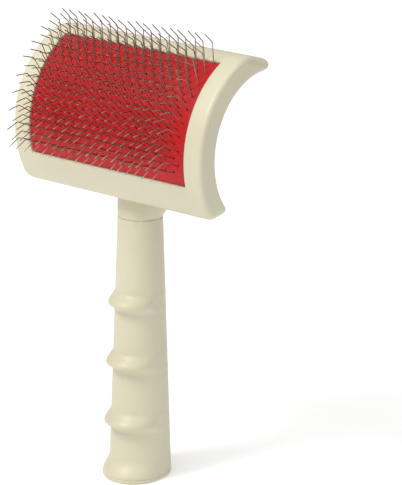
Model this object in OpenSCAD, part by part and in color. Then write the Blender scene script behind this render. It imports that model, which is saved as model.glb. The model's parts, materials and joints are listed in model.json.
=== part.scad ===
// Slicker brush: a curved head with a cushioned pad of bent wire pins, on a ridged handle.
// Millimetres. The origin is the centre of the butt face, on the handle's axis.
// +Z runs up the handle, -Y is the pin side, and X runs along the width of the head.

/* [Head] */
// Width of the head, from end to end
head_w = 100; // [96:1:110]
// Radius of the curved rim face, about the head's own axis
rim_r = 40.2; // [39.8:0.1:40.6]
// Thickness of the head, from the rim face to the hollow back
head_t = 9.4; // [9.2:0.1:9.8]
// How far the head's axis lies behind the handle's axis
axis_y = 18.9; // [18.6:0.1:19.2]
// Height of the head's axis above the butt
axis_z = 142.5; // [142:0.1:143]
// Lower edge of the rim face, as an angle below level
rim_low = 36.5; // [36:0.5:37]
// Upper edge of the rim face, as an angle above level
rim_high = 73.5; // [72.5:0.5:74]
// How much further round the head's back runs than the rim face, at the lower edge
flare_low = 8; // [7:0.5:9]
// How much further round the head's back runs than the rim face, at the upper edge
flare_high = 20; // [19:0.5:21]
// Thickness of the head at its back, at the lower edge
low_lip = 1; // [0.8:0.1:1.2]
// Thickness of the head at its back, at the upper edge
high_lip = 3.8; // [3:0.1:4]
// Rounding of the head's four corners, seen from the front
corner_r = 4; // [3:0.5:6]
// Rounding of the head's long edges
edge_r = 2; // [1.5:0.1:2.2]

/* [Pad] */
// Width of the opening that holds the pad
pad_w = 82; // [81.5:0.5:83]
// Lower edge of that opening, as an angle below level
pad_low = 14.8; // [14.5:0.1:15]
// Upper edge of that opening, as an angle above level
pad_high = 62.8; // [62.6:0.1:63]
// Depth of the rubber's face below the rim face
pad_recess = 0.8; // [0.7:0.1:0.9]
// Thickness of the rubber face
rubber_t = 1.2; // [1.1:0.1:1.3]
// Thickness of one ply of the foundation cloth
ply_t = 0.65; // [0.6:0.05:0.7]
// Thickness of the sponge cushion
cushion_t = 2.1; // [1.8:0.1:2.2]

/* [Pins] */
// Diameter of the pin wire
wire_d = 0.4; // [0.35:0.01:0.42]
// Distance between neighbouring points of one row
point_pitch = 4.45; // [4.4:0.01:4.46]
// Length of a leg, from the rubber's face to the knee
leg_len = 8.5; // [8:0.1:9]
// Length of a tip, from the knee to the point
tip_len = 6; // [5.5:0.1:6.5]
// Lean of a leg from the pad's normal, away from the handle
leg_lean = 23; // [21:1:24]
// Bend of the knee, back towards the handle
knee_bend = 43; // [41:1:45]
// Angle of the lowest row
first_row = -7.8; // [-9:0.1:-7.5]
// Angle between neighbouring rows
row_step = 4.02; // [3.95:0.01:4.02]

/* [Handle] */
// Height of the joint between the handle and the head's neck
handle_top = 109.5; // [109:0.1:110]
// Radius of the handle at the butt
butt_r = 12.8; // [12.6:0.05:13]
// Radius of the handle at its top
neck_r = 9.15; // [9:0.05:9.3]
// Height of the lowest finger ridge above the butt
first_ridge = 23.8; // [23:0.1:25]
// Distance from one finger ridge to the next
ridge_pitch = 25.2; // [24:0.1:26]
// How far the finger ridges and the foot stand out at the front
ridge_h = 4; // [3.5:0.1:4.2]
// Height over which the foot spreads
foot_h = 7; // [6:0.5:8]
// Wall of the hollow handle
wall = 2.5; // [2.3:0.1:2.7]
// Thickness of the cap's visible rim
cap_t = 1.8; // [1.6:0.1:2]

/* [Hidden] */
$fn = 96;
PIN_ROWS = 18;
STAPLES_IN_ROW = 9;

// Colours of the materials
cream = [0.91, 0.88, 0.78];
rubber_red = [0.72, 0.14, 0.16];
canvas = [0.80, 0.74, 0.60];
sponge = [0.66, 0.60, 0.52];
steel = [0.42, 0.40, 0.38];

// Radii of the head's layers, from the rim face inwards
back_r = rim_r - head_t;
rubber_out = rim_r - pad_recess;
rubber_in = rubber_out - rubber_t;
layer_gap = 0.05;
outer_ply_out = rubber_in - layer_gap;
outer_ply_in = outer_ply_out - ply_t;
inner_ply_out = outer_ply_in - layer_gap;
inner_ply_in = inner_ply_out - ply_t;
crown_r = inner_ply_in - layer_gap - wire_d / 2;
cushion_out = crown_r - wire_d / 2 - 0.15;
cushion_in = cushion_out - cushion_t;
floor_r = cushion_in - layer_gap;
// Gap between the layers' edges and the walls of the opening
edge_gap = 0.25;

// The pins turn about the middle of the sheets that hold them
pivot_r = (rubber_out + inner_ply_in) / 2;
hole_r = wire_d / 2 + 0.22;
crown_depth = (pivot_r - crown_r) / cos(leg_lean);
leg_above = (rubber_out - pivot_r) / cos(leg_lean) + leg_len;
elbow_r = 0.5;
knee_r = 0.8;
pad_mid = (pad_high - pad_low) / 2;

// The neck's widest ring, below the head's lower edge, and the spine's top end
neck_ring_h = 6;
neck_ring_r = 10.95;
neck_ring_y = 2.7;
spine_h = 29;
spine_y = -5.5;
spine_r = 5;
tenon_r = neck_r - wall - 0.1;
tenon_len = 20;
plug_len = 6;

function row_name(row) = str("pin_row_", row < 10 ? "0" : "", row);
function arc_angle(length) = length / rubber_out * 180 / PI;
function row_at(row) = first_row + (row - 1) * row_step;
// Odd rows lie half a pitch along, towards -X
function staple_at(row, i) =
    (i - (STAPLES_IN_ROW - 1) / 2) * 2 * point_pitch - (row % 2) * point_pitch / 2;
function handle_r(z) = butt_r + (neck_r - butt_r) * z / handle_top;
function polar(r, a) = [r * cos(a), r * sin(a)];

// Puts the head's own axis along X. There, X points out of the pad at angle 0,
// angles run up the head, and -Z is the world's +X.
module in_head()
{
    translate([0, axis_y, axis_z])
        rotate([90, 0, -90])
            children();
}

// Part of a ring about the head's axis
module sector(r_in, r_out, low, high, width)
{
    rotate([0, 0, -low])
        rotate_extrude(angle = low + high, $fn = 180)
            translate([r_in, -width / 2])
                square([r_out - r_in, width]);
}

// Side view of the head: a curved band with slanted, rounded ends
module head_profile()
{
    reach = 2 * rim_r;
    hollow_r = back_r - 8;
    low_back = polar(back_r + low_lip, -rim_low - flare_low);
    high_back = polar(back_r + high_lip, rim_high + flare_high);
    low_far = low_back + 3 * (polar(rim_r, -rim_low) - low_back);
    high_far = high_back + 3 * (polar(rim_r, rim_high) - high_back);
    offset(r = edge_r)
        offset(delta = -edge_r)
            intersection() {
                difference() {
                    circle(r = rim_r, $fn = 180);
                    circle(r = back_r, $fn = 180);
                }
                polygon([
                    polar(hollow_r, -rim_low - flare_low),
                    low_back,
                    low_far,
                    [reach, 0],
                    high_far,
                    high_back,
                    polar(hollow_r, rim_high + flare_high)
                ]);
            }
}

// The head's outline with its four rounded corners, seen along the middle of the pad
module head_outline()
{
    rotate([0, 0, pad_mid])
        rotate([0, 90, 0])
            linear_extrude(height = 2 * rim_r, center = true)
                translate([0, outline_shift()])
                    offset(r = corner_r, $fn = 64)
                        square([head_w - 2 * corner_r, outline_h() - 2 * corner_r], center = true);
}

// The outline just holds the rim face's lower and upper edges
function edge_at(angle) = rim_r * sin(angle - pad_mid);
function outline_h() = edge_at(rim_high) - edge_at(-rim_low);
function outline_shift() = (edge_at(rim_high) + edge_at(-rim_low)) / 2;

// The neck: it widens under the head and runs up the hollow back as a tapering spine
module neck()
{
    skin = 0.1;
    hull() {
        translate([0, 0, handle_top])
            cylinder(r = neck_r, h = skin, $fn = 48);
        translate([0, neck_ring_y, handle_top + neck_ring_h])
            cylinder(r = neck_ring_r, h = skin, $fn = 48);
        translate([0, spine_y, handle_top + spine_h])
            cylinder(r = spine_r, h = skin, $fn = 48);
    }
}

module head_shell()
{
    color(cream) {
        difference() {
            union() {
                in_head()
                    intersection() {
                        linear_extrude(height = head_w, center = true)
                            head_profile();
                        head_outline();
                    }
                neck();
            }
            in_head()
                sector(floor_r, rim_r + 5, pad_low, pad_high, pad_w);
        }
        translate([0, 0, handle_top - tenon_len])
            cylinder(r = tenon_r, h = tenon_len);
    }
}

// One finger ridge: a lens of the handle's own width, moved forward.
// Its upper flank is longer than its lower one, and both end inside the handle's wall.
module finger_ridge(height, lower = 3.4, upper = 5.2)
{
    steps = 3;
    sunk = 0.5;
    r = handle_r(height);
    first = lower > 0 ? -steps : 0;
    flank = [for (i = [first : steps])
        let (run = i < 0 ? lower : upper, s = i / steps)
        [r - (ridge_h + sunk) * (1 - cos(180 * s)) / 2, run * s]];
    translate([0, -ridge_h, height])
        rotate_extrude()
            polygon(concat([[0, -lower]], flank, [[0, upper]]));
}

module handle_outside()
{
    rotate_extrude()
        polygon([
            [0, cap_t],
            [handle_r(cap_t), cap_t],
            [neck_r, handle_top],
            [0, handle_top]
        ]);
    finger_ridge(cap_t, 0, foot_h);
    for (i = [0 : 2])
        finger_ridge(first_ridge + i * ridge_pitch);
}

module handle_inside()
{
    plug_bore = handle_r(cap_t + plug_len) - wall;
    socket_r = neck_r - wall;
    rotate_extrude()
        polygon([
            [0, cap_t - 1],
            [plug_bore, cap_t - 1],
            [plug_bore, cap_t + plug_len + 1],
            [socket_r, handle_top - tenon_len - 4],
            [socket_r, handle_top + 1],
            [0, handle_top + 1]
        ]);
}

module handle()
{
    color(cream)
        difference() {
            handle_outside();
            handle_inside();
        }
}

// The cap's rim, rounded below
module cap_rim()
{
    r = handle_r(cap_t);
    round_r = 1.2;
    edge = [for (a = [-90 : 15 : 0]) [r - round_r + round_r * cos(a), round_r + round_r * sin(a)]];
    rotate_extrude()
        polygon(concat([[0, 0]], edge, [[r, cap_t], [0, cap_t]]));
}

// A plug with a rim that closes the foot of the handle and gives the brush its flat butt
module butt_cap()
{
    plug_r = handle_r(cap_t + plug_len) - wall - 0.05;
    plug_in = plug_r - 1.8;
    color(cream) {
        cap_rim();
        translate([0, -ridge_h, 0])
            cap_rim();
        rotate_extrude()
            polygon([
                [plug_in, cap_t - 0.5],
                [plug_r, cap_t - 0.5],
                [plug_r, cap_t + plug_len - 0.6],
                [plug_r - 0.6, cap_t + plug_len],
                [plug_in, cap_t + plug_len]
            ]);
    }
}

// Runs its children in the frame of each leg of a row: X along the leg, at the sheets' middle
module at_legs(row)
{
    for (i = [0 : STAPLES_IN_ROW - 1])
        for (side = [-0.5, 0.5])
            rotate([0, 0, row_at(row)])
                translate([pivot_r, 0, -staple_at(row, i) - side * point_pitch])
                    rotate([0, 0, leg_lean])
                        children();
}

// The holes that the pins pass through, open enough for the pins to rock
module pin_holes()
{
    for (row = [1 : PIN_ROWS])
        at_legs(row)
            rotate([0, 90, 0])
                cylinder(r = hole_r, h = 8, center = true, $fn = 24);
}

module sheet(r_in, r_out)
{
    inset = arc_angle(edge_gap);
    sector(r_in, r_out, pad_low - inset, pad_high - inset, pad_w - 2 * edge_gap);
}

module pad_cushion()
{
    color(sponge)
        in_head()
            sheet(cushion_in, cushion_out);
}

module foundation_ply_inner()
{
    color(canvas)
        in_head()
            difference() {
                sheet(inner_ply_in, inner_ply_out);
                pin_holes();
            }
}

module foundation_ply_outer()
{
    color(canvas)
        in_head()
            difference() {
                sheet(outer_ply_in, outer_ply_out);
                pin_holes();
            }
}

module pad_rubber_face()
{
    color(rubber_red)
        in_head()
            difference() {
                sheet(rubber_in, rubber_out);
                pin_holes();
            }
}

// Straight wire along X
module straight(length)
{
    rotate([0, 90, 0])
        cylinder(r = wire_d / 2, h = length, $fn = 16);
}

// Bent wire that starts along X and turns towards Y
module bend(radius, angle)
{
    translate([0, radius, 0])
        rotate([0, 0, -90])
            rotate_extrude(angle = angle, $fn = 48)
                translate([radius, 0])
                    circle(r = wire_d / 2, $fn = 16);
}

// Half of a staple, from the middle of its crown along X, up its leg along Y to its point
module half_staple()
{
    crown_half = point_pitch / 2 - elbow_r;
    knee_run = knee_r * tan(knee_bend / 2);
    leg_straight = crown_depth + leg_above - elbow_r - knee_run;
    straight(crown_half);
    translate([crown_half, 0, 0])
        bend(elbow_r, 90);
    translate([crown_half + elbow_r, elbow_r, 0])
        rotate([0, 0, 90]) {
            straight(leg_straight);
            translate([leg_straight, 0, 0])
                rotate([-90, 0, 0]) {
                    bend(knee_r, knee_bend);
                    translate([knee_r * sin(knee_bend), knee_r * (1 - cos(knee_bend)), 0])
                        rotate([0, 0, knee_bend])
                            straight(tip_len - knee_run);
                }
        }
}

module staple()
{
    for (side = [0, 1])
        mirror([0, 0, side])
            rotate([0, -90, -90])
                half_staple();
}

module pin_row(row)
{
    color(steel)
        in_head()
            for (i = [0 : STAPLES_IN_ROW - 1])
                rotate([0, 0, row_at(row)])
                    translate([pivot_r, 0, -staple_at(row, i)])
                        rotate([0, 0, leg_lean])
                            translate([-crown_depth, 0, 0])
                                staple();
}

head_shell();
handle();
butt_cap();
pad_cushion();
foundation_ply_inner();
foundation_ply_outer();
pad_rubber_face();
for (row = [1 : PIN_ROWS])
    pin_row(row);
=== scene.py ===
"""Slicker brush: a curved head with a cushioned pad of bent wire pins, on a handle with finger ridges.

Everything is in metres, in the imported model's own frame: the origin is the centre of the butt face,
+Z runs up the handle, -Y is the side that the pins point to, and X runs along the head.
"""

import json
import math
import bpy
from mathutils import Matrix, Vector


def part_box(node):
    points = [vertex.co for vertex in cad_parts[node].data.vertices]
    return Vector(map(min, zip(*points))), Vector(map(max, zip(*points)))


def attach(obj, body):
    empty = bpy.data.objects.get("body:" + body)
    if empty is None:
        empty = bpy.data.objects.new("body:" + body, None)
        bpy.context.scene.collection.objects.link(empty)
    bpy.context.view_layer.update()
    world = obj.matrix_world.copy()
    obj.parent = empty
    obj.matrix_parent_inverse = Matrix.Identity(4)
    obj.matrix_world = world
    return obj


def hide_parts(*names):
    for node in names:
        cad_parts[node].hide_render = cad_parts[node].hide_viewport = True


bl_info = {
    "name": "Slicker Brush",
    "version": (1, 0, 0),
    "blender": (4, 5, 0),
    "location": "View3D > Sidebar > Slicker Brush",
    "description": "Builds the casing, grip, pad and wire pins of a curved slicker brush",
    "category": "Object",
}

import bpy
import numpy as np
from bpy.props import FloatProperty, FloatVectorProperty, IntProperty, PointerProperty
from mathutils import Matrix, Vector

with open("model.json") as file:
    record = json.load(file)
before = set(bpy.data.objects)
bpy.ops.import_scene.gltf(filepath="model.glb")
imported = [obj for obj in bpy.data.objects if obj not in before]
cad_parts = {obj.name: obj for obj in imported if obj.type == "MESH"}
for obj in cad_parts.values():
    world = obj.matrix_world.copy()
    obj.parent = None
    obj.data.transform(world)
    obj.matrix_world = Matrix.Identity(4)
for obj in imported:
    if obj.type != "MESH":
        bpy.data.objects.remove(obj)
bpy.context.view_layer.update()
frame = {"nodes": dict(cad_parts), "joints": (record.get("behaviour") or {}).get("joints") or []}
MM = 0.001
HEAD_BODY = "brush"
FRONT_FILLET = 1.0 * MM  # where the neck meets the front of the head
BACK_FILLET = 5.5 * MM  # where it meets the hollow back
STAPLES_IN_ROW = 9


def row_names():
    """The pin rows, from the lowest to the highest."""
    return sorted(node for node in frame["nodes"] if node.startswith("pin_row_"))


# ---------------------------------------------------------------- settings


class SlickerHeadSettings(bpy.types.PropertyGroup):
    """The casing that holds the pad, and the neck that joins it to the grip."""

    axis_behind: FloatProperty(
        name="Axis behind handle",
        description="How far the axis of the head's curve lies behind the handle's axis",
        default=18.9 * MM,
        unit="LENGTH",
    )
    axis_height: FloatProperty(
        name="Axis height",
        description="Height of the axis of the head's curve above the butt",
        default=142.5 * MM,
        unit="LENGTH",
    )
    rim_radius: FloatProperty(
        name="Rim radius",
        description="Radius of the curved rim face",
        default=40.2 * MM,
        unit="LENGTH",
    )
    thickness: FloatProperty(
        name="Thickness",
        description="From the rim face to the hollow back",
        default=9.4 * MM,
        unit="LENGTH",
    )
    rim_low: FloatProperty(
        name="Rim low edge",
        description="Angle of the rim face's lower edge below level",
        default=math.radians(36.5),
        subtype="ANGLE",
    )
    rim_high: FloatProperty(
        name="Rim high edge",
        description="Angle of the rim face's upper edge above level",
        default=math.radians(73.5),
        subtype="ANGLE",
    )
    flare_low: FloatProperty(
        name="Low flare",
        description="How much further round the back runs than the rim face, at the lower edge",
        default=math.radians(8),
        subtype="ANGLE",
    )
    flare_high: FloatProperty(
        name="High flare",
        description="How much further round the back runs than the rim face, at the upper edge",
        default=math.radians(20),
        subtype="ANGLE",
    )
    low_lip: FloatProperty(
        name="Low lip",
        description="Thickness of the head at its back, at the lower edge",
        default=1.0 * MM,
        unit="LENGTH",
    )
    high_lip: FloatProperty(
        name="High lip",
        description="Thickness of the head at its back, at the upper edge",
        default=3.8 * MM,
        unit="LENGTH",
    )
    corner_radius: FloatProperty(
        name="Corner rounding",
        description="Rounding of the four corners, seen from the front",
        default=4.0 * MM,
        unit="LENGTH",
    )
    edge_radius: FloatProperty(
        name="Edge rounding",
        description="Rounding of the edges of the two ends",
        default=2.0 * MM,
        unit="LENGTH",
    )
    lip_radius: FloatProperty(
        name="Lip rounding",
        description="Rounding of the long lower and upper edges",
        default=2.6 * MM,
        unit="LENGTH",
    )
    opening_width: FloatProperty(
        name="Opening width",
        description="Width of the opening for the pad",
        default=82.0 * MM,
        unit="LENGTH",
    )
    opening_low: FloatProperty(
        name="Opening low edge",
        description="Angle of the opening's lower edge below level",
        default=math.radians(14.8),
        subtype="ANGLE",
    )
    opening_high: FloatProperty(
        name="Opening high edge",
        description="Angle of the opening's upper edge above level",
        default=math.radians(62.8),
        subtype="ANGLE",
    )
    neck_height: FloatProperty(
        name="Neck height",
        description="Height of the joint between the grip and the neck",
        default=109.5 * MM,
        unit="LENGTH",
    )
    plastic: FloatVectorProperty(
        name="Plastic",
        description="Colour of the moulded plastic",
        subtype="COLOR",
        size=3,
        min=0,
        max=1,
        default=(0.575, 0.54, 0.392),
    )


class SlickerGripSettings(bpy.types.PropertyGroup):
    """The hollow handle and the cap in its foot."""

    butt_radius: FloatProperty(
        name="Butt radius",
        description="Radius at the butt",
        default=12.8 * MM,
        unit="LENGTH",
    )
    top_radius: FloatProperty(
        name="Top radius",
        description="Radius at the joint with the neck",
        default=9.15 * MM,
        unit="LENGTH",
    )
    foot_height: FloatProperty(
        name="Foot height",
        description="Height over which the foot bulges at the front",
        default=7.0 * MM,
        unit="LENGTH",
    )
    first_ridge: FloatProperty(
        name="First ridge",
        description="Height of the lowest finger ridge",
        default=23.8 * MM,
        unit="LENGTH",
    )
    ridge_pitch: FloatProperty(
        name="Ridge pitch",
        description="Distance from one finger ridge to the next",
        default=25.2 * MM,
        unit="LENGTH",
    )
    ridge_count: IntProperty(
        name="Ridges",
        description="Number of finger ridges",
        default=3,
        min=0,
        max=4,
    )
    ridge_height: FloatProperty(
        name="Ridge height",
        description="How far the finger ridges and the foot stand out at the front",
        default=4.0 * MM,
        unit="LENGTH",
    )
    wall: FloatProperty(
        name="Wall",
        description="Wall of the hollow handle",
        default=2.5 * MM,
        unit="LENGTH",
    )
    cap_rim: FloatProperty(
        name="Cap rim",
        description="Thickness of the butt cap's visible rim",
        default=1.8 * MM,
        unit="LENGTH",
    )


class SlickerPadSettings(bpy.types.PropertyGroup):
    """The rubber face, the cloth under it and the sponge."""

    recess: FloatProperty(
        name="Set-back",
        description="Depth of the rubber's face below the rim face",
        default=0.8 * MM,
        unit="LENGTH",
    )
    recess_depth: FloatProperty(
        name="Recess depth",
        description="From the rim face down to the floor of the recess",
        default=6.15 * MM,
        unit="LENGTH",
    )
    rubber_thickness: FloatProperty(
        name="Rubber thickness",
        description="Thickness of the rubber face",
        default=1.2 * MM,
        unit="LENGTH",
    )
    layer_gap: FloatProperty(
        name="Layer gap",
        description="Gap between one layer of the pad and the next",
        default=0.05 * MM,
        unit="LENGTH",
    )
    ply_thickness: FloatProperty(
        name="Ply thickness",
        description="Thickness of one cloth ply",
        default=0.65 * MM,
        unit="LENGTH",
    )
    cushion_outer: FloatProperty(
        name="Cushion radius",
        description="Radius of the sponge's outer face about the head's axis",
        default=36.2 * MM,
        unit="LENGTH",
    )
    cushion_thickness: FloatProperty(
        name="Cushion thickness",
        description="Thickness of the sponge",
        default=2.1 * MM,
        unit="LENGTH",
    )
    edge_gap: FloatProperty(
        name="Edge gap",
        description="Gap between the rubber's edge and the casing",
        default=0.25 * MM,
        unit="LENGTH",
    )
    pit_depth: FloatProperty(
        name="Pit depth",
        description="Depth of the pit from which each wire rises",
        default=0.35 * MM,
        unit="LENGTH",
    )
    rubber: FloatVectorProperty(
        name="Rubber",
        description="Colour of the rubber face",
        subtype="COLOR",
        size=3,
        min=0,
        max=1,
        default=(0.44, 0.008, 0.010),
    )


class SlickerPinSettings(bpy.types.PropertyGroup):
    """The bent wire staples."""

    wire: FloatProperty(
        name="Wire",
        description="Diameter of the wire",
        default=0.4 * MM,
        unit="LENGTH",
    )
    pitch: FloatProperty(
        name="Pitch",
        description="Distance between neighbouring points of one row",
        default=4.45 * MM,
        unit="LENGTH",
    )
    leg: FloatProperty(
        name="Leg",
        description="Length of a leg from the rubber to the knee",
        default=8.5 * MM,
        unit="LENGTH",
    )
    tip: FloatProperty(
        name="Tip",
        description="Length of a tip from the knee to the point",
        default=6.0 * MM,
        unit="LENGTH",
    )
    lean: FloatProperty(
        name="Lean",
        description="Lean of a leg from the pad's normal, away from the handle",
        default=math.radians(23),
        subtype="ANGLE",
    )
    knee: FloatProperty(
        name="Knee",
        description="Bend of the knee, back towards the handle",
        default=math.radians(43),
        subtype="ANGLE",
    )
    crown_depth: FloatProperty(
        name="Crown depth",
        description="How far a staple's crown lies below the middle of the sheets",
        default=1.68 * MM,
        unit="LENGTH",
    )
    scatter: FloatProperty(
        name="Scatter",
        description="How much the wires differ from each other in lean",
        default=math.radians(1.3),
        subtype="ANGLE",
    )
    seed: IntProperty(
        name="Seed",
        description="Seed of the scatter",
        default=7,
        min=0,
    )


class SlickerStudioSettings(bpy.types.PropertyGroup):
    """Camera, lights and floor."""

    azimuth: FloatProperty(
        name="Azimuth",
        description="Direction of the camera about the handle, 0 at the pin side",
        default=math.radians(40.70),
        subtype="ANGLE",
    )
    elevation: FloatProperty(
        name="Elevation",
        description="Height of the camera above level",
        default=math.radians(16.48),
        subtype="ANGLE",
    )
    roll: FloatProperty(
        name="Roll",
        description="Roll of the camera",
        default=math.radians(0.45),
        subtype="ANGLE",
    )
    distance: FloatProperty(
        name="Distance",
        description="Distance of the camera from the point it looks at",
        default=1024.25 * MM,
        unit="LENGTH",
    )
    lens: FloatProperty(
        name="Lens",
        description="Focal length in millimetres, on a 36 mm frame",
        default=188.9,
    )
    aim_height: FloatProperty(
        name="Aim height",
        description="Height on the handle's axis that the aim starts from",
        default=90.6 * MM,
        unit="LENGTH",
    )
    aim_right: FloatProperty(
        name="Aim right",
        description="How far the aim lies to the right of that point",
        default=24.36 * MM,
        unit="LENGTH",
    )
    aim_up: FloatProperty(
        name="Aim up",
        description="How far the aim lies above that point, square to the view",
        default=7.42 * MM,
        unit="LENGTH",
    )


# ---------------------------------------------------------------- shared mesh work


def soft_max(a, b, radius):
    """The larger of two distances, with the edge between them rounded."""
    u = np.maximum(a + radius, 0)
    v = np.maximum(b + radius, 0)
    return np.minimum(np.maximum(a, b), -radius) + np.hypot(u, v)


def soft_min(a, b, radius):
    """The smaller of two distances, with the corner between them filled."""
    return -soft_max(-a, -b, radius)


def smooth_step(low, high, value):
    """0 up to low, 1 from high on, and a smooth rise between them."""
    t = np.clip((value - low) / (high - low), 0, 1)
    return t * t * (3 - 2 * t)


def spaced(stops):
    """Grid lines from (position, spacing) stops: each stretch is divided at about its own spacing."""
    lines = [np.array([stops[0][0]])]
    for (start, step), (end, _) in zip(stops, stops[1:]):
        count = max(1, round(abs(end - start) / step))
        lines.append(np.linspace(start, end, count + 1)[1:])
    return np.concatenate(lines)


def mesh_piece(name, points, faces, normals=None):
    """A mesh object from arrays. With normals it is shaded by them, and otherwise smoothly."""
    mesh = bpy.data.meshes.new(name)
    mesh.from_pydata(points.tolist() if hasattr(points, "tolist") else points, [], faces)
    mesh.validate()
    mesh.shade_smooth()
    if normals is not None:
        mesh.normals_split_custom_set_from_vertices(normals.tolist())
    piece = bpy.data.objects.new(name, mesh)
    bpy.context.scene.collection.objects.link(piece)
    return piece


def slopes(field, points, step=0.02 * MM):
    """The gradient of a distance field at some points."""
    out = np.empty_like(points)
    for axis in range(3):
        shift = np.zeros(3)
        shift[axis] = step
        out[:, axis] = (field(points + shift) - field(points - shift)) / (2 * step)
    return out


def skin(field, grid, place):
    """Points, faces and normals of the surface where field is 0.

    grid is three arrays of grid lines, and place turns grid coordinates into points. Each grid cell
    that the surface crosses gets one point, which is then moved onto the surface itself.
    """
    size = [len(line) for line in grid]
    nodes = np.stack(np.meshgrid(*grid, indexing="ij"), axis=-1).reshape(-1, 3)
    value = field(place(nodes)).reshape(size)
    inside = value < 0
    cells = [n - 1 for n in size]
    total = np.zeros(cells + [3])
    hits = np.zeros(cells)
    crossings = []
    for axis in range(3):
        low = [slice(None)] * 3
        high = [slice(None)] * 3
        low[axis] = slice(0, -1)
        high[axis] = slice(1, None)
        a, b = value[tuple(low)], value[tuple(high)]
        cut = inside[tuple(low)] != inside[tuple(high)]
        share = np.where(cut, a / np.where(cut, a - b, 1), 0)
        crossings.append((cut, inside[tuple(low)]))
        others = [k for k in range(3) if k != axis]
        for first in (0, 1):
            for second in (0, 1):
                part = [slice(None)] * 3
                part[others[0]] = slice(first, first + cells[others[0]])
                part[others[1]] = slice(second, second + cells[others[1]])
                c, s = cut[tuple(part)], share[tuple(part)]
                hits += c
                total[..., axis] += c * s
                total[..., others[0]] += c * first
                total[..., others[1]] += c * second
    used = hits > 0
    at = np.argwhere(used)
    within = total[used] / hits[used][:, None]
    spot = np.empty_like(within)
    for axis in range(3):
        line = grid[axis]
        start = line[at[:, axis]]
        spot[:, axis] = start + within[:, axis] * (line[at[:, axis] + 1] - start)
    points = place(spot)
    index = np.full(cells, -1)
    index[used] = np.arange(len(at))
    faces = []
    for axis in range(3):
        cut, begins_inside = crossings[axis]
        others = [(axis + 1) % 3, (axis + 2) % 3]
        inner = [slice(None)] * 3
        for k in others:
            inner[k] = slice(1, -1)
        where = np.argwhere(cut[tuple(inner)])
        for k in others:
            where[:, k] += 1
        corners = []
        for first, second in ((-1, -1), (0, -1), (0, 0), (-1, 0)):
            cell = where.copy()
            cell[:, others[0]] += first
            cell[:, others[1]] += second
            corners.append(index[tuple(cell.T)])
        quads = np.stack(corners, axis=1)
        flip = ~begins_inside[tuple(where.T)]
        quads[flip] = quads[flip][:, ::-1]
        faces.append(quads)
    for _ in range(4):
        slope = slopes(field, points)
        steep = np.maximum((slope**2).sum(1), 0.04)
        move = -(field(points) / steep)[:, None] * slope
        far = np.linalg.norm(move, axis=1, keepdims=True)
        points = points + move * np.minimum(1, 0.3 * MM / np.maximum(far, 1e-12))
    slope = slopes(field, points)
    normals = slope / np.maximum(np.linalg.norm(slope, axis=1, keepdims=True), 1e-9)
    return points, np.concatenate(faces), normals


def lathe(profile_radius, heights, around):
    """Points and faces of a closed ring of rings about Z. profile_radius holds the radii of each ring."""
    angles = np.linspace(0, 2 * math.pi, around, endpoint=False)
    rings = []
    for radius, z in zip(profile_radius, heights):
        ring = [radius * np.sin(angles), -radius * np.cos(angles), np.full(around, z)]
        rings.append(np.stack(ring, axis=1))
    points = np.concatenate(rings)
    count = len(heights)
    faces = []
    for ring in range(count):
        after = (ring + 1) % count
        for k in range(around):
            m = (k + 1) % around
            faces.append((ring * around + k, ring * around + m, after * around + m, after * around + k))
    return points, faces


def polar_place(head):
    """Turns (x, angle, radius) about the head's axis into points."""

    def place(grid_points):
        x, angle, radius = grid_points.T
        y = head.axis_behind - radius * np.cos(angle)
        z = head.axis_height + radius * np.sin(angle)
        return np.stack([x, y, z], axis=1)

    return place


# ---------------------------------------------------------------- materials


def new_material(name):
    """An empty node material with its principled shader."""
    material = bpy.data.materials.new(name)
    material.use_nodes = True
    tree = material.node_tree
    return material, tree.nodes, tree.links, tree.nodes["Principled BSDF"]


def noise(nodes, links, space, scale, detail=3.0, rough=0.5):
    """A noise pattern in the object's own space."""
    pattern = nodes.new("ShaderNodeTexNoise")
    pattern.inputs["Scale"].default_value = scale
    pattern.inputs["Detail"].default_value = detail
    pattern.inputs["Roughness"].default_value = rough
    links.new(space, pattern.inputs["Vector"])
    return pattern.outputs["Fac"]


def remap(nodes, links, value, low, high, out_low, out_high):
    """value, moved from one range to another."""
    node = nodes.new("ShaderNodeMapRange")
    node.inputs["From Min"].default_value = low
    node.inputs["From Max"].default_value = high
    node.inputs["To Min"].default_value = out_low
    node.inputs["To Max"].default_value = out_high
    links.new(value, node.inputs["Value"])
    return node.outputs["Result"]


def mix_colour(nodes, links, factor, first, second, blend="MIX"):
    """A mix of two colours, or of a colour and a socket."""
    node = nodes.new("ShaderNodeMix")
    node.data_type = "RGBA"
    node.blend_type = blend
    if isinstance(factor, float):
        node.inputs["Factor"].default_value = factor
    else:
        links.new(factor, node.inputs["Factor"])
    for socket, value in ((node.inputs["A"], first), (node.inputs["B"], second)):
        if isinstance(value, tuple):
            socket.default_value = (*value, 1) if len(value) == 3 else value
        else:
            links.new(value, socket)
    return node.outputs["Result"]


def bump(nodes, links, height, strength, distance, below=None):
    """A bump from a height pattern, on top of another one."""
    node = nodes.new("ShaderNodeBump")
    node.inputs["Strength"].default_value = strength
    node.inputs["Distance"].default_value = distance
    links.new(height, node.inputs["Height"])
    if below is not None:
        links.new(below, node.inputs["Normal"])
    return node.outputs["Normal"]


def object_space(nodes):
    """The piece's own coordinates."""
    return nodes.new("ShaderNodeTexCoord").outputs["Object"]


def scaled(colour, factor):
    """A colour made darker or lighter."""
    return tuple(min(1.0, c * factor) for c in colour)


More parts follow.
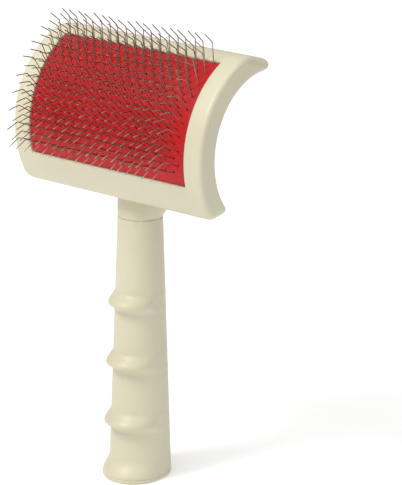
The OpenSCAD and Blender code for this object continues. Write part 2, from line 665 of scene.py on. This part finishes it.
def moulded_plastic(colour):
    """Cream moulded plastic: a satin gloss, faint flow marks and a fine mould grain."""
    material, nodes, links, shader = new_material("cream moulded plastic")
    space = object_space(nodes)
    clouds = noise(nodes, links, space, 28.0, 4.0, 0.6)
    tone = remap(nodes, links, clouds, 0.3, 0.7, 0.0, 1.0)
    body = mix_colour(nodes, links, tone, scaled(colour, 0.965), scaled(colour, 1.03))
    specks = noise(nodes, links, space, 900.0, 2.0, 0.5)
    speck = remap(nodes, links, specks, 0.70, 0.80, 0.0, 0.25)
    body = mix_colour(nodes, links, speck, body, scaled(colour, 0.80))
    links.new(body, shader.inputs["Base Color"])
    rubbed = noise(nodes, links, space, 60.0, 5.0, 0.65)
    links.new(remap(nodes, links, rubbed, 0.25, 0.75, 0.40, 0.54), shader.inputs["Roughness"])
    grain = noise(nodes, links, space, 2600.0, 2.0, 0.5)
    swell = noise(nodes, links, space, 90.0, 2.0, 0.4)
    fine = bump(nodes, links, grain, 0.05, 0.02 * MM)
    links.new(bump(nodes, links, swell, 0.10, 0.15 * MM, fine), shader.inputs["Normal"])
    shader.inputs["IOR"].default_value = 1.49
    shader.inputs["Specular IOR Level"].default_value = 0.5
    shader.inputs["Coat Weight"].default_value = 0.12
    shader.inputs["Coat Roughness"].default_value = 0.22
    return material


def red_rubber(colour):
    """Red sheet rubber: soft gloss, a slight bloom and a fine skin."""
    material, nodes, links, shader = new_material("red sheet rubber")
    space = object_space(nodes)
    clouds = noise(nodes, links, space, 45.0, 4.0, 0.6)
    tone = remap(nodes, links, clouds, 0.3, 0.7, 0.0, 1.0)
    body = mix_colour(nodes, links, tone, scaled(colour, 0.85), scaled(colour, 1.12))
    dust = noise(nodes, links, space, 700.0, 3.0, 0.6)
    bloom = remap(nodes, links, dust, 0.55, 0.8, 0.0, 0.03)
    body = mix_colour(nodes, links, bloom, body, (0.80, 0.42, 0.38))
    links.new(body, shader.inputs["Base Color"])
    links.new(remap(nodes, links, dust, 0.3, 0.7, 0.34, 0.52), shader.inputs["Roughness"])
    grain = noise(nodes, links, space, 1500.0, 3.0, 0.6)
    swell = noise(nodes, links, space, 260.0, 2.0, 0.5)
    fine = bump(nodes, links, grain, 0.15, 0.03 * MM)
    links.new(bump(nodes, links, swell, 0.35, 0.15 * MM, fine), shader.inputs["Normal"])
    shader.inputs["Specular IOR Level"].default_value = 0.22
    return material


def drawn_wire():
    """Hard drawn steel wire with fine draw marks."""
    material, nodes, links, shader = new_material("drawn steel wire")
    space = object_space(nodes)
    stain = noise(nodes, links, space, 160.0, 3.0, 0.6)
    tone = remap(nodes, links, stain, 0.3, 0.7, 0.0, 1.0)
    body = mix_colour(nodes, links, tone, (0.22, 0.165, 0.135), (0.44, 0.35, 0.29))
    links.new(body, shader.inputs["Base Color"])
    marks = noise(nodes, links, space, 2400.0, 2.0, 0.5)
    links.new(remap(nodes, links, marks, 0.3, 0.7, 0.20, 0.34), shader.inputs["Roughness"])
    links.new(bump(nodes, links, marks, 0.08, 0.01 * MM), shader.inputs["Normal"])
    shader.inputs["Metallic"].default_value = 1.0
    return material


def canvas_weave():
    """Plain woven cotton canvas: over and under threads along X and along the height."""
    material, nodes, links, shader = new_material("cotton canvas")
    space = object_space(nodes)
    threads = []
    for direction in ("X", "Z"):
        wave = nodes.new("ShaderNodeTexWave")
        wave.wave_type = "BANDS"
        wave.bands_direction = direction
        wave.inputs["Scale"].default_value = 520.0
        wave.inputs["Distortion"].default_value = 0.6
        wave.inputs["Detail"].default_value = 1.0
        links.new(space, wave.inputs["Vector"])
        threads.append(wave.outputs["Fac"])
    cross = nodes.new("ShaderNodeMath")
    cross.operation = "MULTIPLY"
    links.new(threads[0], cross.inputs[0])
    links.new(threads[1], cross.inputs[1])
    slub = noise(nodes, links, space, 120.0, 3.0, 0.6)
    body = mix_colour(nodes, links, cross.outputs["Value"], (0.42, 0.36, 0.25), (0.66, 0.59, 0.45))
    body = mix_colour(nodes, links, remap(nodes, links, slub, 0.4, 0.7, 0.0, 0.3), body, (0.50, 0.44, 0.32))
    links.new(body, shader.inputs["Base Color"])
    links.new(bump(nodes, links, cross.outputs["Value"], 0.6, 0.12 * MM), shader.inputs["Normal"])
    shader.inputs["Roughness"].default_value = 0.9
    shader.inputs["Sheen Weight"].default_value = 0.2
    return material


def sponge_rubber():
    """Open sponge rubber: a soft tan body, dimpled at its pores, with painted shade darkening each pore."""
    material, nodes, links, shader = new_material("sponge rubber")
    space = object_space(nodes)
    pores = nodes.new("ShaderNodeTexVoronoi")
    pores.inputs["Scale"].default_value = 1100.0
    links.new(space, pores.inputs["Vector"])
    pore_depth_and_shade = remap(nodes, links, pores.outputs["Distance"], 0.15, 0.5, 0.0, 1.0)
    # painted shade: each pore is coloured dark where the bump sinks it, standing in for the shade inside
    # the hollow
    body = mix_colour(nodes, links, pore_depth_and_shade, (0.16, 0.13, 0.09), (0.44, 0.37, 0.27))
    links.new(body, shader.inputs["Base Color"])
    links.new(bump(nodes, links, pore_depth_and_shade, 0.7, 0.2 * MM), shader.inputs["Normal"])
    shader.inputs["Roughness"].default_value = 0.95
    return material


def dress(piece, material, body, node):
    """Gives a new piece its material and slot and the body it rides on, and hides the node it stands for.
    """
    piece.data.materials.clear()
    piece.data.materials.append(material)
    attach(piece, body)
    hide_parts(node)


def shared_material(name, make, *values):
    """The material of that name, made the first time it is asked for."""
    found = bpy.data.materials.get(name)
    return found if found is not None else make(*values)


def plastic(scene):
    """The cream plastic of the casing, the handle and the cap."""
    return shared_material("cream moulded plastic", moulded_plastic, tuple(scene.slicker_head.plastic))


# ---------------------------------------------------------------- head


def line_through(first, second):
    """The outward normal of the line through two points of the head's side view, and its reach."""
    along = second - first
    normal = np.array([along[1], -along[0]]) / np.hypot(*along)
    if normal @ first < 0:
        normal = -normal
    return normal, normal @ first


def side_point(radius, angle):
    """A point of the head's side view, from its axis."""
    return np.array([radius * math.cos(angle), radius * math.sin(angle)])


def neck_field(head, grip, points):
    """Distance to the neck: as wide as the grip at first, wider to the rear, then a spine up the back."""
    x, y, z = points.T
    top = head.neck_height
    height = np.array([-1, 0, 3, 6, 10, 15, 22, 29, 36]) * MM + top
    centre = np.array([0, 0, 1.4, 2.7, 2.1, 0.2, -2.7, -5.5, -8.5]) * MM
    radius = np.array([0, 0, 0.95, 1.8, 1.0, -0.4, -2.2, -4.1, -6.1]) * MM + grip.top_radius
    here = smooth_rail(height, centre, z)
    wide = smooth_rail(height, radius, z)
    ring = np.hypot(x, y - here) - wide
    ring = soft_max(ring, z - height[-1], 3 * MM)
    return soft_max(ring, top - z, 0.06 * MM)


def smooth_rail(stops, values, at):
    """Values between stops, on one smooth curve through them."""
    slope = np.gradient(values, stops)
    k = np.clip(np.searchsorted(stops, at) - 1, 0, len(stops) - 2)
    run = stops[k + 1] - stops[k]
    t = np.clip((at - stops[k]) / run, 0, 1)
    rise = t * t * (3 - 2 * t)
    return (
        values[k] * (1 - rise)
        + values[k + 1] * rise
        + run * slope[k] * t * (1 - t) ** 2
        - run * slope[k + 1] * t * t * (1 - t)
    )


def casing_field(head, grip, pad_floor):
    """Distance to the head casing, negative inside."""
    half_width = (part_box("head_shell")[1][0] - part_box("head_shell")[0][0]) / 2
    back_radius = head.rim_radius - head.thickness
    low_stop = head.rim_low + head.flare_low
    high_stop = head.rim_high + head.flare_high
    low_normal, low_reach = line_through(
        side_point(head.rim_radius, -head.rim_low),
        side_point(back_radius + head.low_lip, -low_stop),
    )
    high_normal, high_reach = line_through(
        side_point(head.rim_radius, head.rim_high),
        side_point(back_radius + head.high_lip, high_stop),
    )
    middle = (head.opening_high - head.opening_low) / 2
    half_opening = (head.opening_high + head.opening_low) / 2

    def field(points):
        x, y, z = points.T
        out, up = head.axis_behind - y, z - head.axis_height
        radius = np.hypot(out, up)
        angle = np.arctan2(up, out)
        front = radius - head.rim_radius
        back = back_radius - radius
        low = out * low_normal[0] + up * low_normal[1] - low_reach
        high = out * high_normal[0] + up * high_normal[1] - high_reach
        low = soft_max(low, (-low_stop - angle) * radius, head.edge_radius)
        high = soft_max(high, (angle - high_stop) * radius, head.edge_radius)
        end = np.maximum(low, high)
        side = np.abs(x) - half_width
        outline = soft_max(side, end, head.corner_radius)
        near_end = smooth_step(-3 * MM, 3 * MM, end - side)
        edge = head.edge_radius + near_end * (head.lip_radius - head.edge_radius)
        body = soft_max(soft_max(outline, front, edge), back, edge)
        neck = neck_field(head, grip, points)
        fillet = FRONT_FILLET + (BACK_FILLET - FRONT_FILLET) * smooth_step(-7 * MM, 1 * MM, y)
        body = soft_min(body, neck, fillet)
        opening = soft_max(
            np.abs(x) - head.opening_width / 2,
            (np.abs(angle - middle) - half_opening) * head.rim_radius,
            1.0 * MM,
        )
        recess = soft_max(opening, pad_floor - radius, 0.4 * MM)
        return soft_max(body, -recess, 0.6 * MM)

    return field


class OBJECT_OT_slicker_casing(bpy.types.Operator):
    """Build the head casing with its neck and tenon"""

    bl_idname = "object.slicker_casing"
    bl_label = "Head Casing"

    def execute(self, context):
        scene = context.scene
        head, grip, pad = scene.slicker_head, scene.slicker_grip, scene.slicker_pad
        floor = head.rim_radius - pad.recess_depth
        half = (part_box("head_shell")[1][0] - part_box("head_shell")[0][0]) / 2
        side = head.opening_width / 2
        right = [
            (side - 2 * MM, 0.3 * MM),
            (side + 1 * MM, 0.7 * MM),
            (half - 4 * MM, 0.4 * MM),
            (half + 0.7 * MM, 1),
        ]
        left = [
            (-right[3][0], 0.4 * MM),
            (-right[2][0], 0.7 * MM),
            (-right[1][0], 0.3 * MM),
            (-right[0][0], 0.75 * MM),
        ]
        xs = spaced(left + right)
        degree = math.radians(1)
        angles = spaced([
            (-86 * degree, 0.8 * degree),
            (-48 * degree, 0.5 * degree),
            (-12 * degree, 1.2 * degree),
            (61 * degree, 0.5 * degree),
            (97 * degree, 1),
        ])
        radii = spaced([
            (13 * MM, 0.8 * MM),
            (27 * MM, 0.5 * MM),
            (45.3 * MM, 1),
        ])
        field = casing_field(head, grip, floor)
        points, faces, normals = skin(field, (xs, angles, radii), polar_place(head))
        tenon_points, tenon_faces = self.tenon(head, grip)
        faces = faces.tolist() + [[k + len(points) for k in face] for face in tenon_faces]
        tenon_normals = tenon_points * (1, 1, 0)
        tenon_normals /= np.maximum(np.linalg.norm(tenon_normals, axis=1, keepdims=True), 1e-9)
        normals = np.concatenate([normals, tenon_normals])
        piece = mesh_piece("head_casing", np.concatenate([points, tenon_points]), faces, normals)
        dress(piece, plastic(scene), HEAD_BODY, "head_shell")
        return {"FINISHED"}

    @staticmethod
    def tenon(head, grip):
        """The round tenon that the neck has inside the grip."""
        around, chamfer, core = 64, 0.8 * MM, 0.05 * MM
        radius = grip.top_radius - grip.wall - 0.1 * MM
        end = head.neck_height + 0.5 * MM
        foot = head.neck_height - 20 * MM
        outline = [(core, foot), (radius - chamfer, foot), (radius, foot + chamfer)]
        outline += [(radius, end), (core, end)]
        return lathe([np.full(around, r) for r, _ in outline], [z for _, z in outline], around)


# ---------------------------------------------------------------- grip


def grip_radius(grip, z):
    """Radius of the plain taper of the grip."""
    top = bpy.context.scene.slicker_head.neck_height
    return grip.butt_radius + (grip.top_radius - grip.butt_radius) * z / top


def ridge_rise(grip, z):
    """How far the grip stands forward at a height: long slopes above each ridge, short ones below."""
    upper, lower = 5.2 * MM, 3.4 * MM
    rise = grip.ridge_height * swell((z - grip.cap_rim) / grip.foot_height)
    for k in range(grip.ridge_count):
        above = z - (grip.first_ridge + k * grip.ridge_pitch)
        rise += grip.ridge_height * swell(above / (upper if above > 0 else lower))
    return rise


def swell(share):
    """1 in the middle, falling smoothly to 0 at a share of 1."""
    return (0.5 + 0.5 * math.cos(math.pi * min(1.0, abs(share)))) ** 1.1


def grip_ring(grip, z, around):
    """Radii around the grip at one height, with the finger ridges at the front."""
    angles = np.linspace(0, 2 * math.pi, around, endpoint=False)
    plain = grip_radius(grip, z)
    rise = ridge_rise(grip, z)
    forward = rise * np.cos(angles) + np.sqrt(plain**2 - (rise * np.sin(angles)) ** 2) - plain
    blend = 0.35 * MM
    raised = 0.5 * (forward + np.sqrt(forward**2 + blend**2))
    return plain + raised - 0.5 * blend * (1 - min(1, rise / blend))


class OBJECT_OT_slicker_grip(bpy.types.Operator):
    """Build the hollow handle with its finger ridges"""

    bl_idname = "object.slicker_grip"
    bl_label = "Handle"

    def execute(self, context):
        scene = context.scene
        head, grip = scene.slicker_head, scene.slicker_grip
        around = 144
        start, end = grip.cap_rim, head.neck_height
        bevel = 0.06 * MM
        rings, heights = [], []
        stops = [(start, 0.02 * MM), (start + bevel, 0.5 * MM), (end - bevel, 0.02 * MM), (end, 1)]
        for z in spaced(stops):
            radii = grip_ring(grip, z, around)
            near = min(z - start, end - z)
            if near < bevel:
                radii = radii - (bevel - math.sqrt(max(0.0, bevel**2 - (bevel - near) ** 2)))
            rings.append(radii)
            heights.append(z)
        plug = grip_radius(grip, grip.cap_rim + 6 * MM) - grip.wall
        socket = grip.top_radius - grip.wall
        inner = [(end, socket), (end - 24 * MM, socket), (start + 7 * MM, plug), (start, plug)]
        for z, radius in inner:
            rings.append(np.full(around, radius))
            heights.append(z)
        points, faces = lathe(rings, heights, around)
        piece = mesh_piece("grip_handle", points, faces)
        dress(piece, plastic(scene), HEAD_BODY, "handle")
        return {"FINISHED"}


class OBJECT_OT_slicker_cap(bpy.types.Operator):
    """Build the cap that closes the foot of the handle"""

    bl_idname = "object.slicker_cap"
    bl_label = "Butt Cap"

    def execute(self, context):
        scene = context.scene
        grip = scene.slicker_grip
        around = 144
        edge = 1.2 * MM
        bevel = 0.3 * MM
        top = grip.cap_rim
        foot = grip_ring(grip, top, around)
        plug = grip_radius(grip, top + 6 * MM) - grip.wall - 0.05 * MM
        quarter = np.linspace(0, math.pi / 2, 9)
        rim = [(edge - edge * math.sin(a), edge - edge * math.cos(a)) for a in quarter]
        rim += [(0, top - bevel), (0.1 * MM, top - 0.1 * MM), (bevel, top)]
        under = [(0.05 * MM, 0.2 * MM), (7 * MM, 0.2 * MM), (7.4 * MM, 0.0)]
        stem = [(plug, top), (plug, top + 5.4 * MM), (plug - 0.6 * MM, top + 6 * MM)]
        stem += [(plug - 1.8 * MM, top + 6 * MM), (plug - 1.8 * MM, top), (0.05 * MM, top)]
        rings = [np.full(around, r) for r, _ in under] + [foot - inset for inset, _ in rim]
        rings += [np.full(around, r) for r, _ in stem]
        points, faces = lathe(rings, [z for _, z in under + rim + stem], around)
        piece = mesh_piece("butt_plug", points, faces)
        dress(piece, plastic(scene), HEAD_BODY, "butt_cap")
        return {"FINISHED"}


# ---------------------------------------------------------------- pad


def row_angles(head):
    """The angle of each pin row about the head's axis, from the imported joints."""
    places = {joint["child"]: joint["pos_m"] for joint in frame["joints"]}
    angles = []
    for name in row_names():
        _, y, z = places[name]
        angles.append(math.atan2(z - head.axis_height, head.axis_behind - y))
    return angles


def staple_middles(row, pitch):
    """Where along X a row's staples are. The lowest row and every second one lie half a pitch to -X."""
    aside = pitch / 2 if row % 2 == 0 else 0
    middle = (STAPLES_IN_ROW - 1) // 2
    return [(i - middle) * 2 * pitch - aside for i in range(STAPLES_IN_ROW)]


def root_points(head, pins):
    """(x, angle) of every wire at the middle of the sheets."""
    roots = []
    for row, angle in enumerate(row_angles(head)):
        for middle in staple_middles(row, pins.pitch):
            roots += [(middle + side * pins.pitch, angle) for side in (-0.5, 0.5)]
    return roots


class OBJECT_OT_slicker_rubber(bpy.types.Operator):
    """Build the red rubber face with a pit round every wire"""

    bl_idname = "object.slicker_rubber"
    bl_label = "Rubber Face"

    def execute(self, context):
        scene = context.scene
        head, pad, pins = scene.slicker_head, scene.slicker_pad, scene.slicker_pins
        top = head.rim_radius - pad.recess
        bottom = top - pad.rubber_thickness
        half = head.opening_width / 2 - pad.edge_gap
        low = -head.opening_low + pad.edge_gap / top
        high = head.opening_high - pad.edge_gap / top
        pivot = self.pivot_radius(head)
        lift = (top - pivot) * math.tan(pins.lean) / top
        roots = [(x, angle + lift) for x, angle in root_points(head, pins)]
        offsets = np.array([-0.62, -0.36, -0.16, 0, 0.16, 0.36, 0.62]) * MM
        columns = sorted({round(x, 6) for x, _ in roots})
        rows = sorted({round(a, 6) for _, a in roots})
        rim = np.array([0, 0.12, 0.35, 0.8]) * MM
        xs = np.concatenate([[x + o for o in offsets for x in columns], -half + rim, half - rim])
        angles = [[a + o / top for o in offsets for a in rows], low + rim / top, high - rim / top]
        angles = np.concatenate(angles)
        xs = np.unique(np.round(xs[np.abs(xs) <= half + 1e-9], 6))
        angles = np.unique(np.round(angles[(angles >= low - 1e-9) & (angles <= high + 1e-9)], 6))
        x, angle = np.meshgrid(xs, angles, indexing="ij")
        height = self.relief(x, angle, roots, top, pad, half, low, high)
        place = polar_place(head)
        upper = place(np.stack([x.ravel(), angle.ravel(), (top + height).ravel()], axis=1))
        lower = place(np.stack([x.ravel(), angle.ravel(), np.full(x.size, bottom)], axis=1))
        points = np.concatenate([upper, lower])
        faces = slab_faces(len(xs), len(angles))
        piece = mesh_piece("rubber_face", points, faces)
        material = shared_material("red sheet rubber", red_rubber, tuple(pad.rubber))
        dress(piece, material, HEAD_BODY, "pad_rubber_face")
        return {"FINISHED"}

    @staticmethod
    def pivot_radius(head):
        """Distance of the pin rows' hinges from the head's axis."""
        _, y, z = frame["joints"][0]["pos_m"]
        return math.hypot(y - head.axis_behind, z - head.axis_height)

    @staticmethod
    def relief(x, angle, roots, top, pad, half, low, high):
        """Height of the face: a pit at each wire inside a slight pucker, a gentle swell, rolled edges."""
        height = np.zeros_like(x)
        reach = 1.3 * MM
        for root_x, root_angle in roots:
            i = slice(*np.searchsorted(x[:, 0], [root_x - reach, root_x + reach]))
            span = reach / top
            j = slice(*np.searchsorted(angle[0], [root_angle - span, root_angle + span]))
            away = np.hypot(x[i, j] - root_x, (angle[i, j] - root_angle) * top)
            height[i, j] -= pad.pit_depth * np.exp(-((away / (0.30 * MM)) ** 2))
            height[i, j] += 0.22 * pad.pit_depth * np.exp(-(((away - 0.62 * MM) / (0.26 * MM)) ** 2))
        height += 0.05 * MM * np.sin(x / (7.3 * MM)) * np.sin(angle * top / (5.9 * MM) + 0.7)
        inward = np.minimum(half - np.abs(x), np.minimum(angle - low, high - angle) * top)
        roll = 0.18 * MM
        drop = roll - np.sqrt(np.maximum(roll**2 - np.maximum(roll - inward, 0) ** 2, 0))
        return height - drop


def slab_faces(columns, rows):
    """Faces of a closed slab from an upper and a lower sheet of columns by rows points."""
    half = columns * rows

    def at(i, j, under=0):
        """The number of a point of the upper sheet, or of the one under it."""
        return i * rows + j + under * half

    faces = []
    for i in range(columns - 1):
        for j in range(rows - 1):
            faces.append((at(i, j), at(i, j + 1), at(i + 1, j + 1), at(i + 1, j)))
            faces.append((at(i, j, 1), at(i + 1, j, 1), at(i + 1, j + 1, 1), at(i, j + 1, 1)))
    for i in range(columns - 1):
        faces.append((at(i, 0), at(i + 1, 0), at(i + 1, 0, 1), at(i, 0, 1)))
        faces.append((at(i, rows - 1), at(i, rows - 1, 1), at(i + 1, rows - 1, 1), at(i + 1, rows - 1)))
    last = columns - 1
    for j in range(rows - 1):
        faces.append((at(0, j), at(0, j, 1), at(0, j + 1, 1), at(0, j + 1)))
        faces.append((at(last, j), at(last, j + 1), at(last, j + 1, 1), at(last, j, 1)))
    return faces


def curved_slab(name, head, outer, inner, inset, columns, rows, relief):
    """A closed slab between two radii about the head's axis, set in from the opening's edges.

    relief gives the height of its outer face, from the place across the head and along its curve.
    """
    half = head.opening_width / 2 - inset
    low = -head.opening_low + inset / outer
    high = head.opening_high - inset / outer
    lines = np.linspace(-half, half, columns), np.linspace(low, high, rows)
    x, angle = np.meshgrid(*lines, indexing="ij")
    rise = relief(x, angle * outer)
    place = polar_place(head)
    upper = place(np.stack([x.ravel(), angle.ravel(), (outer + rise).ravel()], axis=1))
    lower = place(np.stack([x.ravel(), angle.ravel(), np.full(x.size, inner)], axis=1))
    return mesh_piece(name, np.concatenate([upper, lower]), slab_faces(columns, rows))


class OBJECT_OT_slicker_underlay(bpy.types.Operator):
    """Build the two cloth plies and the sponge that lie under the rubber"""

    bl_idname = "object.slicker_underlay"
    bl_label = "Cloth and Sponge"

    def execute(self, context):
        scene = context.scene
        head, pad = scene.slicker_head, scene.slicker_pad
        cloth = shared_material("cotton canvas", canvas_weave)
        sponge = shared_material("sponge rubber", sponge_rubber)
        outer = head.rim_radius - pad.recess - pad.rubber_thickness - pad.layer_gap
        cushion = curved_slab(
            "sponge_cushion", head, pad.cushion_outer, pad.cushion_outer - pad.cushion_thickness,
            pad.edge_gap, 110, 72, self.pores,
        )
        dress(cushion, sponge, HEAD_BODY, "pad_cushion")
        for layer in ("inner", "outer"):
            name, node = f"cloth_ply_{layer}", f"foundation_ply_{layer}"
            depth = pad.ply_thickness + pad.layer_gap if layer == "inner" else 0
            face = outer - depth
            ply = curved_slab(
                name, head, face, face - pad.ply_thickness, pad.edge_gap, 164, 110, self.threads
            )
            dress(ply, cloth, HEAD_BODY, node)
        return {"FINISHED"}

    @staticmethod
    def pores(x, run):
        """Shallow dimples over the sponge's face."""
        wander = 1.3 * np.sin(run / (1.1 * MM))
        return -0.04 * MM * (1 + np.sin(x / (0.9 * MM) + wander)) / 2

    @staticmethod
    def threads(x, run):
        """The over and under of the weave."""
        thread = 0.5 * MM
        weave = np.sin(x / thread * math.pi) * np.sin(run / thread * math.pi)
        return -0.02 * MM * (1 + weave) / 2


# ---------------------------------------------------------------- pins


def turned(direction, about, angle):
    """A direction, turned about another one."""
    return Matrix.Rotation(angle, 3, about) @ direction


def wire_half(pins, root, out, across, leg_above, jitter):
    """Centre points of half a staple, from the middle of its crown to its point.

    root is where the leg crosses the middle of the sheets, out the pad's normal there and across the
    way along the crown from its middle. jitter holds this leg's own lean, splay, knee and length.
    """
    lean, splay, knee, longer = jitter
    level = Vector((1, 0, 0))
    straight = turned(out, level, -pins.lean)
    leg = turned(turned(out, level, -(pins.lean + lean)), straight.cross(level).normalized(), splay)
    elbow, bend = 0.5 * MM, 0.8 * MM
    path = [root - straight * pins.crown_depth - across * (pins.pitch / 2)]
    corner = root - straight * pins.crown_depth
    for a in np.linspace(0, math.pi / 2, 5):
        path.append(corner - across * elbow * (1 - math.sin(a)) + straight * elbow * (1 - math.cos(a)))
    path.append(root)
    top = root + leg * (leg_above + longer)
    turn = -(pins.knee + knee)
    run = bend * math.tan(abs(turn) / 2)
    tip = turned(leg, level, -turn)
    start = top - leg * run
    inward = (tip - leg * math.cos(turn)).normalized()
    for a in np.linspace(0, abs(turn), 5):
        path.append(start + leg * bend * math.sin(a) + inward * bend * (1 - math.cos(a)))
    end = top + tip * pins.tip
    path.append(end - tip * 0.12 * MM)
    path.append(end)
    return path


def tube(path, radius, sides, end_scale):
    """Points and faces of a closed round tube along a path, its two ends narrowed."""
    path = [Vector(p) for p in path]
    count = len(path)
    guide = Vector((0.0, 0.3, 1.0)).normalized()
    points, faces = [], []
    for k, centre in enumerate(path):
        ahead = path[min(k + 1, count - 1)] - path[max(k - 1, 0)]
        ahead.normalize()
        guide = (guide - ahead * guide.dot(ahead)).normalized()
        beside = ahead.cross(guide)
        r = radius * (end_scale if k in (0, count - 1) else 1.0)
        for s in range(sides):
            a = 2 * math.pi * s / sides
            points.append(centre + (guide * math.cos(a) + beside * math.sin(a)) * r)
    for k in range(count - 1):
        for s in range(sides):
            t = (s + 1) % sides
            faces.append((k * sides + s, k * sides + t, (k + 1) * sides + t, (k + 1) * sides + s))
    faces.append(tuple(reversed(range(sides))))
    faces.append(tuple(range((count - 1) * sides, count * sides)))
    return points, faces


class OBJECT_OT_slicker_pins(bpy.types.Operator):
    """Build the rows of bent wire staples"""

    bl_idname = "object.slicker_pins"
    bl_label = "Wire Pins"

    def execute(self, context):
        scene = context.scene
        head, pad, pins = scene.slicker_head, scene.slicker_pad, scene.slicker_pins
        random = np.random.default_rng(pins.seed)
        steel = shared_material("drawn steel wire", drawn_wire)
        places = {joint["child"]: joint["pos_m"] for joint in frame["joints"]}
        axis = Vector((0, head.axis_behind, head.axis_height))
        spread = (pins.scatter, pins.scatter, pins.scatter, 0.12 * MM)
        for row, name in enumerate(row_names()):
            pivot = Vector(places[name])
            out = (pivot - axis).normalized()
            to_face = head.rim_radius - pad.recess - (pivot - axis).length
            leg_above = to_face / math.cos(pins.lean) + pins.leg
            points, faces = [], []
            for middle in staple_middles(row, pins.pitch):
                halves = []
                for side in (-1, 1):
                    jitter = random.normal(0, 1, 4) * spread
                    across = Vector((side, 0, 0))
                    root = pivot + Vector((middle + side * pins.pitch / 2, 0, 0))
                    halves.append(wire_half(pins, root, out, across, leg_above, jitter))
                path = list(reversed(halves[0])) + halves[1][1:]
                some, quads = tube(path, pins.wire / 2, 10, 0.55)
                faces += [tuple(i + len(points) for i in quad) for quad in quads]
                points += some
            piece = mesh_piece(name.replace("pin_row", "wire_row"), [tuple(p) for p in points], faces)
            dress(piece, steel, name, name)
        return {"FINISHED"}


# ---------------------------------------------------------------- stage


def add_area_light(name, place, target, size, power, colour):
    """A round soft light at a place, aimed at a target."""
    light = bpy.data.lights.new(name, "AREA")
    light.shape = "DISK"
    light.size = size
    light.energy = power
    light.color = colour
    lamp = bpy.data.objects.new(name, light)
    lamp.location = place
    lamp.rotation_euler = (Vector(target) - Vector(place)).to_track_quat("-Z", "Y").to_euler()
    bpy.context.scene.collection.objects.link(lamp)


def pale_floor():
    """A plain pale floor, lit a little from within so that shadows stay light."""
    material, nodes, links, shader = new_material("pale floor")
    space = object_space(nodes)
    clouds = noise(nodes, links, space, 3.0, 2.0, 0.5)
    body = mix_colour(nodes, links, clouds, (0.90, 0.90, 0.90), (0.92, 0.92, 0.92))
    links.new(body, shader.inputs["Base Color"])
    shader.inputs["Roughness"].default_value = 0.8
    shader.inputs["Emission Color"].default_value = (1, 1, 1, 1)
    shader.inputs["Emission Strength"].default_value = 0.22
    return material


class OBJECT_OT_slicker_stage(bpy.types.Operator):
    """Set the camera, the soft lights and the floor"""

    bl_idname = "object.slicker_stage"
    bl_label = "Studio"

    def execute(self, context):
        scene = context.scene
        self.camera(scene)
        self.lights(scene)
        reach, level = 6.0, -0.2 * MM
        around = ((-reach, -reach), (reach, -reach), (reach, reach), (-reach, reach))
        floor = mesh_piece("floor", [(x, y, level) for x, y in around], [(0, 1, 2, 3)])
        floor.data.materials.append(pale_floor())
        return {"FINISHED"}

    @staticmethod
    def camera(scene):
        studio = scene.slicker_studio
        a, e = studio.azimuth, studio.elevation
        back = Vector((math.sin(a) * math.cos(e), -math.cos(a) * math.cos(e), math.sin(e)))
        right = Vector((math.cos(a), math.sin(a), 0))
        up = back.cross(right)
        aim = Vector((0, 0, studio.aim_height)) + right * studio.aim_right + up * studio.aim_up
        c, s = math.cos(studio.roll), math.sin(studio.roll)
        rolled_right, rolled_up = right * c + up * s, up * c - right * s
        data = bpy.data.cameras.new("camera")
        data.lens = studio.lens
        data.sensor_width = 36
        data.clip_end = 20
        camera = bpy.data.objects.new("camera", data)
        turn = Matrix((rolled_right, rolled_up, back)).transposed().to_4x4()
        camera.matrix_world = Matrix.Translation(aim + back * studio.distance) @ turn
        scene.collection.objects.link(camera)
        scene.camera = camera

    @staticmethod
    def lights(scene):
        world = bpy.data.worlds.new("studio")
        world.use_nodes = True
        world.node_tree.nodes["Background"].inputs["Color"].default_value = (1, 1, 1, 1)
        world.node_tree.nodes["Background"].inputs["Strength"].default_value = 0.50
        scene.world = world
        sun = bpy.data.lights.new("overhead", "SUN")
        sun.energy = 1.3
        sun.angle = math.radians(75)
        lamp = bpy.data.objects.new("overhead", sun)
        lamp.rotation_euler = Vector((0.12, -0.40, 0.91)).to_track_quat("Z", "Y").to_euler()
        scene.collection.objects.link(lamp)
        add_area_light("softbox", (-0.14, -0.40, 0.62), (0, 0, 0.13), 0.22, 2.1, (1, 0.99, 0.96))
        scene.view_settings.view_transform = "Standard"


# ---------------------------------------------------------------- panel and run


PIECE_OPERATORS = (
    OBJECT_OT_slicker_casing,
    OBJECT_OT_slicker_grip,
    OBJECT_OT_slicker_cap,
    OBJECT_OT_slicker_rubber,
    OBJECT_OT_slicker_underlay,
    OBJECT_OT_slicker_pins,
    OBJECT_OT_slicker_stage,
)

SETTINGS = {
    "slicker_head": SlickerHeadSettings,
    "slicker_grip": SlickerGripSettings,
    "slicker_pad": SlickerPadSettings,
    "slicker_pins": SlickerPinSettings,
    "slicker_studio": SlickerStudioSettings,
}


class VIEW3D_PT_slicker(bpy.types.Panel):
    """Lists the settings and the pieces of the brush"""

    bl_idname = "VIEW3D_PT_slicker"
    bl_label = "Slicker Brush"
    bl_space_type = "VIEW_3D"
    bl_region_type = "UI"
    bl_category = "Slicker Brush"

    def draw(self, context):
        for name, group in SETTINGS.items():
            box = self.layout.box()
            for prop in group.__annotations__:
                box.prop(getattr(context.scene, name), prop)
        for operator in PIECE_OPERATORS:
            self.layout.operator(operator.bl_idname)


CLASSES = (*SETTINGS.values(), *PIECE_OPERATORS, VIEW3D_PT_slicker)


def register():
    """Adds the settings, the operators and the panel."""
    for each in CLASSES:
        bpy.utils.register_class(each)
    for name, group in SETTINGS.items():
        setattr(bpy.types.Scene, name, PointerProperty(type=group))


def unregister():
    """Takes them out again."""
    for name in SETTINGS:
        delattr(bpy.types.Scene, name)
    for each in reversed(CLASSES):
        bpy.utils.unregister_class(each)


def main():
    """Builds everything in order."""
    register()
    for operator in PIECE_OPERATORS:
        group, name = operator.bl_idname.split(".")
        getattr(getattr(bpy.ops, group), name)()


if __name__ == "__main__":
    main()
